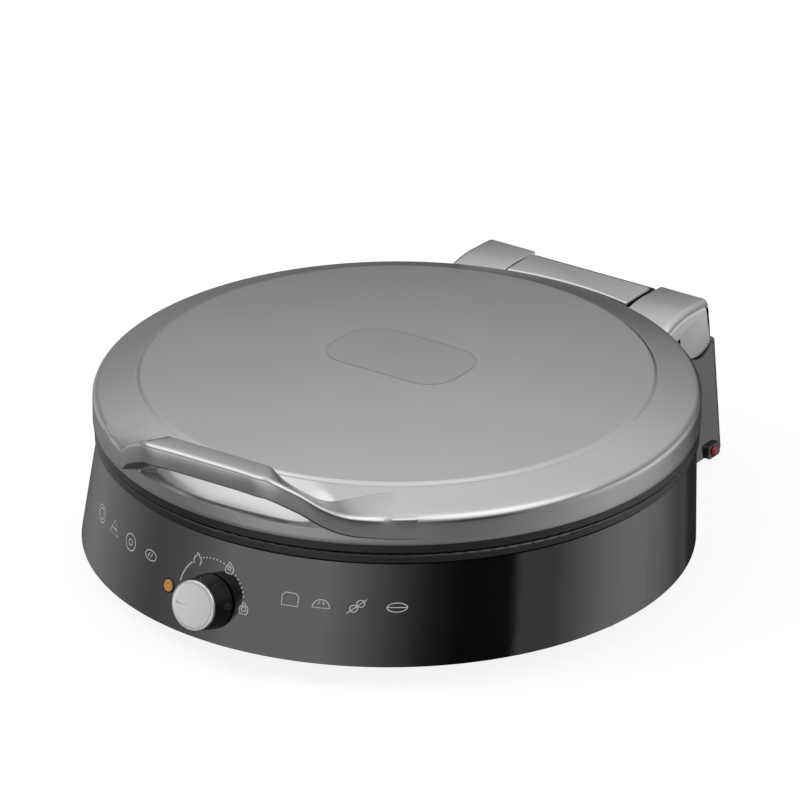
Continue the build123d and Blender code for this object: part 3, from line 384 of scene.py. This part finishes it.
# Extrude all faces of a flat build and move the copy; gives back the moved corners
def pushOut(build, travel):
    pushed = bmesh.ops.extrude_face_region(build, geom=list(build.faces))["geom"]
    verts = [item for item in pushed if isinstance(item, bmesh.types.BMVert)]
    bmesh.ops.translate(build, vec=travel, verts=verts)
    return verts


# Round edges or corners
def roundOff(build, geometry, rounding, segments, affect="EDGES", clamped=False):
    bmesh.ops.bevel(build, geom=geometry, offset=rounding, affect=affect, segments=segments,
                    profile=0.5, material=-1, clamp_overlap=clamped)


def limited(value):
    return min(max(value, 0), 1)


bodyOf = {}
for bodyName, members in frame["record"]["behaviour"]["bodies"].items():
    for member in members:
        bodyOf[member] = bodyName

# Top panel: one soft step at its edge, and the badge's pocket
panel = {"top": 118.05, "crown": 143.3, "edge": 147.0, "edgeZ": 107.74, "seatZ": 104.7,
         "inner": 141.2, "dome": 1189.0, "wall": 3.0, "steps": 256,
         "topRows": (0, 12, 30, 50, 70, 90, 110, 128, 138), "underRows": (90, 50, 0),
         "stepShares": (.12, .24, .38, .52, .66, .8, .92, 1.0)}
badge = {"width": 84.6, "length": 52.6, "corner": 19.3, "segments": 10, "y": 3.8,
         "floorZ": 116.7, "cutHeight": 6}


def crownZ(radius):
    return panel["top"] - panel["dome"] + math.sqrt(panel["dome"] ** 2 - radius ** 2)


topProfile = [(radius, crownZ(radius)) for radius in (*panel["topRows"], panel["crown"])]
stepWidth = panel["edge"] - panel["crown"]
stepDrop = crownZ(panel["crown"]) - panel["edgeZ"]
for share in panel["stepShares"]:
    topProfile.append((panel["crown"] + stepWidth * share,
                       panel["edgeZ"] + stepDrop * (0.5 + 0.5 * math.cos(math.pi * share))))
topProfile += [(panel["edge"], panel["seatZ"]), (panel["inner"], panel["seatZ"])]
topProfile += [(radius, crownZ(radius) - panel["wall"])
               for radius in (panel["inner"], *panel["underRows"])]
build = bmesh.new()
lathe(build, topProfile, panel["steps"])
topPanel = settle(build, "top_panel", "silverSatin", bodyOf["lid_top_panel"],
                  ("lid_top_panel",))

build = bmesh.new()
oblong = Matrix.Diagonal((badge["width"], badge["length"], 1, 1))
bmesh.ops.create_grid(build, x_segments=1, y_segments=1, size=0.5,
                      matrix=Matrix.Translation((0, badge["y"], badge["floorZ"])) @ oblong)
roundOff(build, list(build.verts), badge["corner"], badge["segments"], affect="VERTICES")
pushOut(build, (0, 0, badge["cutHeight"]))
bmesh.ops.recalc_face_normals(build, faces=build.faces)
build.transform(Matrix.Translation((0, axisY, 0)) @ Matrix.Scale(0.001, 4))
cutterMesh = bpy.data.meshes.new("pocketCutter")
build.to_mesh(cutterMesh)
build.free()
cutter = bpy.data.objects.new("pocketCutter", cutterMesh)
bpy.context.scene.collection.objects.link(cutter)
pocketCut = topPanel.modifiers.new("pocket", "BOOLEAN")
pocketCut.operation = "DIFFERENCE"
pocketCut.solver = "EXACT"
pocketCut.object = cutter
graph = bpy.context.evaluated_depsgraph_get()
cutMesh = bpy.data.meshes.new_from_object(topPanel.evaluated_get(graph))
topPanel.modifiers.clear()
topPanel.data = cutMesh
bpy.data.objects.remove(cutter)
print("top panel ready")

# Lid casing: band, rolled rim, sloping ring and seat in one spin, lowered under the handle
shell = {"rim": 171.0, "rimZ": 100.0, "inner": 147.0, "innerZ": 107.7, "lowZ": 83.2, "wall": 3.0,
         "rolling": 5.4, "rollSteps": 8, "seat": 141.0, "seatZ": 104.7, "steps": 720,
         "lip": [(.5, 0), (.15, .12), (0, .45)], "bandRows": (86, 89, 91.5, 93.5),
         "ringRows": (163, 160, 157, 153, 149.5, 148.2, 147.5), "underRing": (160, 98.6),
         "underRimZ": 96.6}
# The notch is narrower towards the panel and fades at its sides over a few degrees
notch = {"half": 23.0, "z": 93.0, "radius": 169.5, "narrowing": 2.0, "narrowFrom": 161,
         "fade": 1.0, "fadeMore": 5.0, "fadeFrom": 165, "span": 12, "panelGap": 0.2,
         "skinDepth": 1.5, "skinWidth": 1}
slope = (shell["innerZ"] - shell["rimZ"]) / (shell["rim"] - shell["inner"])


def ringZ(radius):
    return shell["innerZ"] - slope * (radius - shell["inner"])


def notchZ(radius):
    if radius > notch["radius"]:
        return notch["z"] - (radius - notch["radius"])
    share = (radius - shell["inner"]) / (notch["radius"] - shell["inner"])
    return shell["innerZ"] + (notch["z"] - shell["innerZ"]) * share


half = (math.pi / 2 + math.atan(slope)) / 2  # half the corner between the band and the ring
tangent = shell["rolling"] / math.tan(half)
corner = Vector((shell["rim"], shell["rimZ"]))
downward, inward = Vector((0, -1)), Vector((-1, slope)).normalized()
middle = corner + (downward + inward).normalized() * shell["rolling"] / math.sin(half)
firstSpoke = corner + downward * tangent - middle
lastSpoke = corner + inward * tangent - middle
rolled = []
for step in range(shell["rollSteps"] + 1):
    spoke = firstSpoke.lerp(lastSpoke, step / shell["rollSteps"]).normalized()
    rolled.append(tuple(middle + spoke * shell["rolling"]))
rim, low = shell["rim"], shell["lowZ"]
foot = (rim - shell["wall"], low)
shellProfile = [foot] + [(rim - inset, low + up) for inset, up in shell["lip"]]
shellProfile += [(rim, height) for height in shell["bandRows"]] + rolled
shellProfile += [(radius, ringZ(radius)) for radius in (*shell["ringRows"], shell["inner"])]
seatLowZ = shell["seatZ"] - shell["wall"]
shellProfile += [(shell["inner"], shell["seatZ"]), (shell["seat"], shell["seatZ"]),
                 (shell["seat"], seatLowZ), (shell["inner"], seatLowZ), shell["underRing"],
                 (foot[0], shell["underRimZ"]), foot]
build = bmesh.new()
lathe(build, shellProfile, shell["steps"])
bmesh.ops.remove_doubles(build, verts=build.verts, dist=0.0005)
for vert in build.verts:
    radius = math.hypot(vert.co.x, vert.co.y)
    off = abs(math.degrees(math.atan2(vert.co.x, -vert.co.y)))
    narrowed = notch["narrowing"] * limited((notch["narrowFrom"] - radius) / notch["span"])
    edge = notch["half"] - narrowed
    if off > edge or radius < shell["inner"] + notch["panelGap"]:
        continue
    isUnder = (vert.co.z < ringZ(radius) - notch["skinDepth"]
               and radius < rim - notch["skinWidth"])
    lowered = min(vert.co.z, notchZ(radius) - (shell["wall"] if isUnder else 0))
    fadeWidth = notch["fade"] + notch["fadeMore"] * limited(
        (notch["fadeFrom"] - radius) / notch["span"])
    share = limited((edge - off) / fadeWidth)
    vert.co.z += (lowered - vert.co.z) * share * share * (3 - 2 * share)

# Hinge ears: a long front curve, a nearly flat top, an upright back and a round skirt
ear = {"inner": 43.0, "outer": 77.0, "y": 192.5, "frontY": 151.0, "topY": 184.0, "topZ": 97.35,
       "lowZ": 83.4, "skirtZ": 85.0, "skirt": 19.8, "rearY": 204.5, "rearZ": 96.3,
       "frontSteps": 20, "skirtSteps": 24, "rearRounding": (1.6, 5), "outerRounding": (5.0, 8),
       "innerRounding": (1.4, 4), "cut": ((43.0, 164.6), (77.0, 151.6))}


def liesAt(edge, axis, value):
    return all(abs(vert.co[axis] - value) < 0.01 for vert in edge.verts)


def hingeEar(build, side):
    reach, height = ear["topY"] - ear["frontY"], ear["topZ"] - ear["lowZ"]
    start = build.verts.new((ear["inner"], -1, 0))
    spun = bmesh.ops.spin(build, geom=[start], cent=(ear["inner"], 0, 0), axis=(-1, 0, 0),
                          angle=math.pi / 2, steps=ear["frontSteps"])
    frontTop = [item for item in spun["geom_last"] if isinstance(item, bmesh.types.BMVert)][0]
    for vert in build.verts:
        vert.co.y, vert.co.z = ear["topY"] + vert.co.y * reach, ear["lowZ"] + vert.co.z * height
    rearTop = build.verts.new((ear["inner"], ear["rearY"], ear["rearZ"]))
    build.edges.new((frontTop, rearTop))
    drop = ear["skirtZ"] - ear["lowZ"]
    skirtY = ear["y"] - math.sqrt(ear["skirt"] ** 2 - drop ** 2)
    skirtStart = build.verts.new((ear["inner"], skirtY, ear["lowZ"]))
    build.edges.new((start, skirtStart))
    sweep = (math.pi / 2 - math.asin(drop / ear["skirt"])
             + math.asin((ear["rearY"] - ear["y"]) / ear["skirt"]))
    bmesh.ops.spin(build, geom=[skirtStart], cent=(ear["inner"], ear["y"], ear["skirtZ"]),
                   axis=(1, 0, 0), angle=sweep, steps=ear["skirtSteps"])
    ends = [vert for vert in build.verts if len(vert.link_edges) == 1]
    bmesh.ops.contextual_create(build, geom=ends)
    bmesh.ops.contextual_create(build, geom=list(build.edges))
    roundOff(build, [rearTop], *ear["rearRounding"], affect="VERTICES")
    pushOut(build, (ear["outer"] - ear["inner"], 0, 0))
    # both side faces get round edges, but not at the back and not at the bottom of the front
    for sideX, rounding in ((ear["outer"], ear["outerRounding"]),
                            (ear["inner"], ear["innerRounding"])):
        edges = [edge for edge in build.edges
                 if liesAt(edge, 0, sideX) and not liesAt(edge, 1, ear["rearY"])
                 and not liesAt(edge, 2, ear["lowZ"])
                 and all(vert.co.z > ear["lowZ"] - 0.01 for vert in edge.verts)]
        roundOff(build, edges, *rounding)
    # the front is cut off just inside the lid's band
    (nearX, nearY), (farX, farY) = ear["cut"]
    whole = build.verts[:] + build.edges[:] + build.faces[:]
    cut = bmesh.ops.bisect_plane(build, geom=whole, plane_co=(nearX, nearY, 90),
                                 plane_no=(farY - nearY, nearX - farX, 0), clear_outer=True)
    cutEdges = [item for item in cut["geom_cut"] if isinstance(item, bmesh.types.BMEdge)]
    bmesh.ops.holes_fill(build, edges=cutEdges, sides=0)
    if side < 0:
        whole = build.verts[:] + build.edges[:] + build.faces[:]
        bmesh.ops.mirror(build, geom=whole, axis="X", merge_dist=-1)
        rightVerts = [vert for vert in build.verts if vert.co.x > 0]
        bmesh.ops.delete(build, geom=rightVerts, context="VERTS")
    bmesh.ops.recalc_face_normals(build, faces=build.faces)


for side in (1, -1):
    earBuild = bmesh.new()
    hingeEar(earBuild, side)
    earMesh = bpy.data.meshes.new("earStep")
    earBuild.to_mesh(earMesh)
    earBuild.free()
    build.from_mesh(earMesh)
    bpy.data.meshes.remove(earMesh)
settle(build, "lid_casing", "silverSatin", bodyOf["lid_shell"], ("lid_shell",),
       merge=0)
print("lid casing ready")

# Bar handle: four-cornered sections on two rails, from the middle of the bar to its right root
handle = {"height": 13.0, "frontRounding": (3.0, 7), "rounding": (1.6, 4), "perSpan": 5,
          "front": [(0, -187, 127.5), (22, -187, 127.5), (41, -187, 127.5), (57.5, -178, 119.2),
                    (68, -170, 110.6), (76.8, -160.3, 104.2), (87, -150.0, 101.0),
                    (97, -141.9, 99.9), (106, -134.3, 99.7)],
          "back": [(0, -172, 127.5), (17, -172, 127.5), (33, -172, 127.5), (40, -167.8, 118.9),
                   (50.5, -160.2, 110.2), (57.4, -151.2, 104.4), (66, -142.5, 104.9),
                   (76, -131.5, 106.35), (84, -123.4, 106.95)],
          "depth": [13, 13, 13, 13, 13, 12.4, 9, 5, 2.6],
          "topReach": 5.7, "topClear": 1.0, "frontSlack": 0.05}


# Points along a smooth curve through the given ones
def smoothPath(points, perSpan):
    result = []
    for index in range(len(points) - 1):
        a = Vector(points[max(index - 1, 0)])
        b, c = Vector(points[index]), Vector(points[index + 1])
        d = Vector(points[min(index + 2, len(points) - 1)])
        for step in range(perSpan):
            u = step / perSpan
            result.append(0.5 * (2 * b + (c - a) * u + (2 * a - 5 * b + 4 * c - d) * u * u
                                 + (3 * b - a - 3 * c + d) * u ** 3))
    result.append(Vector(points[-1]))
    for point in result:
        point.z = min(point.z, points[0][2])  # the curve doesn't bulge over the bar
    return result


frontPath = smoothPath(handle["front"], handle["perSpan"])
backPath = smoothPath(handle["back"], handle["perSpan"])
depthPath = [point.x for point in smoothPath([(depth, 0, 0) for depth in handle["depth"]],
                                             handle["perSpan"])]
build = bmesh.new()
loops = []
stations = [(-1, index) for index in range(len(frontPath) - 1, 0, -1)]
stations += [(1, index) for index in range(len(frontPath))]
for side, index in stations:
    front, rear = frontPath[index].copy(), backPath[index].copy()
    front.x *= side
    rear.x *= side
    corners = [front, rear, rear - Vector((0, 0, depthPath[index])),
               front - Vector((0, 0, handle["height"]))]
    verts = [build.verts.new(point) for point in corners]
    loops.append([build.edges.new((verts[i], verts[(i + 1) % 4])) for i in range(4)])
for first, second in zip(loops, loops[1:]):
    bmesh.ops.bridge_loops(build, edges=first + second)
for end in (loops[0], loops[-1]):
    bmesh.ops.contextual_create(build, geom=end)
sectionEdges = {edge for loop in loops for edge in loop}
frontTopEdges, otherEdges = [], []
for edge in [edge for edge in build.edges if edge not in sectionEdges]:
    here = edge.verts[0]
    beside = [link.other_vert(here).co for link in here.link_edges if link in sectionEdges]
    isTop = (all(here.co.z >= place.z - handle["topReach"] for place in beside)
             and here.co.z > min(place.z for place in beside) + handle["topClear"])
    farthest = max(math.hypot(place.x, place.y) for place in beside)
    isFront = math.hypot(here.co.x, here.co.y) >= farthest - handle["frontSlack"]
    (frontTopEdges if isTop and isFront else otherEdges).append(edge)
roundOff(build, frontTopEdges, *handle["frontRounding"], clamped=True)
otherEdges = [edge for edge in otherEdges if edge.is_valid]
roundOff(build, otherEdges, *handle["rounding"], clamped=True)
settle(build, "bar_handle", "silverSatin", bodyOf["lid_handle"],
       ("lid_handle",), creaseAngle=50)
print("handle ready")

# The base wall leans out at the front; marks and pictograms lie on it as flat paint
wall = {"topZ": 70.9, "height": 57.2, "topRadius": 168.5, "grow": 4.7, "lean": 8.3,
        "tilt": 12.8, "proud": 0.05, "flatness": 0.18}


def onWall(x, z, proud):
    share = (wall["topZ"] - z) / wall["height"]
    radius = wall["topRadius"] + wall["grow"] * share
    point = Vector((x, -wall["lean"] * share - math.sqrt(radius ** 2 - x ** 2), z))
    outward = directionTo(math.degrees(math.asin(x / radius)), wall["tilt"])
    return point + outward * proud


# A drawing of lines and dots in (x, z), laid on the base wall
def drawing(name, strokes, dots, width):
    curve = bpy.data.curves.new(name, "CURVE")
    curve.dimensions = "3D"
    curve.bevel_depth = width / 2
    curve.bevel_resolution = 2
    curve.use_fill_caps = True
    for points, closed in strokes:
        spline = curve.splines.new("POLY")
        spline.points.add(len(points) - 1)
        spline.use_cyclic_u = closed
        for target, (x, z) in zip(spline.points, points):
            target.co = (x, 0, z, 1)
    holder = bpy.data.objects.new(name + "Line", curve)
    bpy.context.scene.collection.objects.link(holder)
    graph = bpy.context.evaluated_depsgraph_get()
    lineMesh = bpy.data.meshes.new_from_object(holder.evaluated_get(graph))
    bpy.data.objects.remove(holder)
    build = bmesh.new()
    build.from_mesh(lineMesh)
    for x, z, radius in dots:
        bmesh.ops.create_uvsphere(build, u_segments=14, v_segments=8, radius=radius,
                                  matrix=Matrix.Translation((x, 0, z)))
    for vert in build.verts:
        lift = wall["proud"] - wall["flatness"] * vert.co.y
        vert.co = onWall(vert.co.x, vert.co.z, lift)
    settle(build, name, "printGrey", "base", creaseAngle=60)


# Dial: the arc and the rows of dots are (first angle, step, count), the flames are
# (angle, size, closed) and the dot for off is (angle, distance out, radius)
dial = {"centre": (-4.5, 37.5), "radius": 22.2, "line": 0.7, "dot": 0.5,
        "arc": (170, -2, 20), "dotRows": [(110, -37 / 6, 7), (48, -32 / 5, 6)],
        "offDot": (180, 0.4, 0.7),
        "flames": [(121, 1.3, False), (62, 1.3, True), (-1, 1.35, True), (-1, 0.65, True),
                   (62, 0.45, True)],
        "flameShape": [(-1.5, -2.2), (-2.1, -0.8), (-1.6, 0.6), (-0.7, 1.5), (-0.5, 2.8),
                       (0.6, 1.9), (1.0, 0.9), (1.5, 1.3), (2.0, -0.2), (1.9, -1.4),
                       (1.3, -2.3)]}


def dialPoint(angle, out=0.0):
    radius = dial["radius"] + out
    return (dial["centre"][0] + radius * math.cos(math.radians(angle)),
            dial["centre"][1] + radius * math.sin(math.radians(angle)))


def dialRow(first, step, count):
    return [dialPoint(first + step * index) for index in range(count)]


strokes = [(dialRow(*dial["arc"]), False)]
for angle, size, closed in dial["flames"]:
    x, z = dialPoint(angle)
    strokes.append(([(x + size * u, z + size * v) for u, v in dial["flameShape"]], closed))
dots = [(*point, dial["dot"]) for row in dial["dotRows"] for point in dialRow(*row)]
offAngle, offOut, offRadius = dial["offDot"]
dots.append((*dialPoint(offAngle, offOut), offRadius))
drawing("dial_marks", strokes, dots, dial["line"])

# Plain line pictograms of what can be baked, four on each side of the knob
icons = {"z": 47.0, "line": 0.5, "size": 4.6,
         "places": {"cake": -105, "slice": -88.5, "ring": -70.5, "roll": -51.5,
                    "loaf": 44, "dumpling": 61, "skewer": 79, "bean": 98}}


def pictogram(kind, x, z, size):
    def arc(u, v, radius, count, flat, step):
        return [(x + size * u + size * radius * math.cos(step * i),
                 z + size * v + flat * size * radius * math.sin(step * i)) for i in range(count)]

    def ring(u=0.0, v=0.0, radius=1.0, count=28, flat=1.0):
        return arc(u, v, radius, count, flat, math.tau / count), True

    def line(*points, closed=False):
        return [(x + size * u, z + size * v) for u, v in points], closed

    shapes = {
        "cake": [ring(), ring(radius=.62)],
        "slice": [line((-1, -.7), (1, -.7), (0, 1), closed=True), line((-.6, -.05), (.6, -.05))],
        "ring": [ring(), ring(radius=.35)],
        "roll": [ring(flat=.6), line((-.5, -.3), (-.2, .3)), line((0, -.3), (.3, .3))],
        "loaf": [line((-1, -.7), (1, -.7), (1, .5), (.6, .85), (-.6, .85), (-1, .5),
                      closed=True)],
        "dumpling": [(arc(0, -.5, 1.0, 16, 1.0, math.pi / 15), True),
                     line((-.35, -.1), (-.15, .25)), line((.35, -.1), (.15, .25))],
        "skewer": [line((-1, -.9), (1, .9)), ring(-.3, -.27, .42), ring(.4, .36, .42)],
        "bean": [ring(flat=.55, count=24), line((-1, 0), (1, 0))],
    }
    return shapes[kind]


iconStrokes = []
for kind, x in icons["places"].items():
    iconStrokes += pictogram(kind, x, icons["z"], icons["size"])
drawing("pictograms", iconStrokes, [], icons["line"])
print("wall print ready")

# Silver cover over the hinge housing: its front follows the lid, its edges are rounded
cover = {"half": 41.3, "frontRadius": 175.2, "rearY": 196.5, "lowZ": 96.25, "thickness": 1.75,
         "frontSteps": 24, "rounding": (1.3, 5), "cornerRounding": (2.0, 5)}
build = bmesh.new()
firstAngle = math.asin(cover["half"] / cover["frontRadius"])
frontRight = build.verts.new((cover["half"], cover["frontRadius"] * math.cos(firstAngle),
                              cover["lowZ"]))
bmesh.ops.spin(build, geom=[frontRight], cent=(0, 0, cover["lowZ"]), axis=(0, 0, 1),
               angle=2 * firstAngle, steps=cover["frontSteps"])
frontLeft = min(build.verts, key=lambda vert: vert.co.x)
rearLeft = build.verts.new((-cover["half"], cover["rearY"], cover["lowZ"]))
rearRight = build.verts.new((cover["half"], cover["rearY"], cover["lowZ"]))
for pair in ((frontLeft, rearLeft), (rearLeft, rearRight), (rearRight, frontRight)):
    build.edges.new(pair)
bmesh.ops.contextual_create(build, geom=list(build.edges))
roundOff(build, [frontLeft, rearLeft, rearRight, frontRight], *cover["cornerRounding"],
         affect="VERTICES")
topVerts = pushOut(build, (0, 0, cover["thickness"]))
topEdges = [edge for edge in build.edges if all(vert in topVerts for vert in edge.verts)]
roundOff(build, topEdges, *cover["rounding"])
settle(build, "hinge_cap", "silverSatin", bodyOf["hinge_cover"],
       ("hinge_cover",))

# Coil of the release button: wire spun along a screw line at one fixed length; the button presses
# it together, which isn't shown here
coil = {"startX": 70.35, "length": 12.3, "radius": 1.7, "wire": 0.33, "wireSides": 8, "turns": 8,
        "stepsPerTurn": 20, "y": 198.0, "z": 5.2, "anchorX": 70.0, "wholeLength": 13.0,
        "travel": 2.5}
build = bmesh.new()
wireStart = Matrix.Translation((coil["startX"], coil["y"] + coil["radius"], coil["z"]))
bmesh.ops.create_circle(build, segments=coil["wireSides"], radius=coil["wire"], matrix=wireStart)
coilSteps = coil["turns"] * coil["stepsPerTurn"]
bmesh.ops.spin(build, geom=build.verts[:] + build.edges[:],
               cent=(coil["startX"], coil["y"], coil["z"]), axis=(1, 0, 0),
               dvec=(coil["length"] / coilSteps, 0, 0), angle=coil["turns"] * math.tau,
               steps=coilSteps)
openEdges = [edge for edge in build.edges if edge.is_boundary]
bmesh.ops.holes_fill(build, edges=openEdges, sides=0)
coilPiece = settle(build, "release_coil", "screwSteel", bodyOf["release_spring"],
                   ("release_spring",))
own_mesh(coilPiece)
print("hinge cap and coil ready")


# Matrix that stands a build on a leaning face
def facing(origin, outward):
    across = Vector((-outward.y, outward.x, 0)).normalized()
    placed = Matrix((across, outward.cross(across), outward)).transposed().to_4x4()
    placed.translation = origin
    return placed


# Knob cap with a rolled rim and a pointer; the rim's rows are offsets from the top edge
knob = {"origin": (-4.0, -176.385, 36.0), "outward": (-0.0228, -0.9749, 0.2216),
        "capTop": 16.8, "capLow": 15.2, "radius": 14.4, "steps": 96, "dish": 0.2,
        "rim": [(-2.6, -.2), (-2.1, -.17), (-1.6, -.06), (-1.2, 0), (-.9, -.02), (-.5, -.14),
                (-.2, -.36), (0, -.75)],
        "pointer": (6.4, 1.7, 0.8), "pointerPlace": (-8.2, 0.0), "pointerSink": 0.35,
        "pointerRounding": (0.3, 3)}
capTop, capRadius = knob["capTop"], knob["radius"]
capProfile = [(0, capTop - knob["dish"])]
capProfile += [(capRadius + across, capTop + up) for across, up in knob["rim"]]
capProfile += [(capRadius, knob["capLow"]), (0, knob["capLow"])]
build = bmesh.new()
lathe(build, capProfile, knob["steps"])
pointerPlace = Matrix.Translation((*knob["pointerPlace"], capTop - knob["pointerSink"]))
bar = bmesh.ops.create_cube(build, size=1.0,
                            matrix=pointerPlace @ Matrix.Diagonal((*knob["pointer"], 1)))
barEdges = list({edge for vert in bar["verts"] for edge in vert.link_edges})
roundOff(build, barEdges, *knob["pointerRounding"])
build.transform(facing(Vector(knob["origin"]), Vector(knob["outward"]).normalized()))
settle(build, "knob_cap_face", "capSilver", bodyOf["knob_cap"], ("knob_cap",))

# Dark bezel of the lamp
lens = {"x": -34.5, "z": 36.0, "inner": 3.72, "outer": 4.3, "proud": 0.7, "sunk": -0.4,
        "steps": 64}
lensPoint = onWall(lens["x"], lens["z"], 0)
lensOut = (onWall(lens["x"], lens["z"], 1) - lensPoint).normalized()
inner, outer, proud = lens["inner"], lens["outer"], lens["proud"]
build = bmesh.new()
lathe(build, [(inner, lens["sunk"]), (outer, lens["sunk"]), (outer, proud - .35),
              (outer - .3, proud), (inner + .15, proud), (inner, proud - .2),
              (inner, lens["sunk"])], lens["steps"])
build.transform(facing(lensPoint, lensOut))
settle(build, "lamp_bezel", "blackSatin", "base")
print("knob and lamp ready")
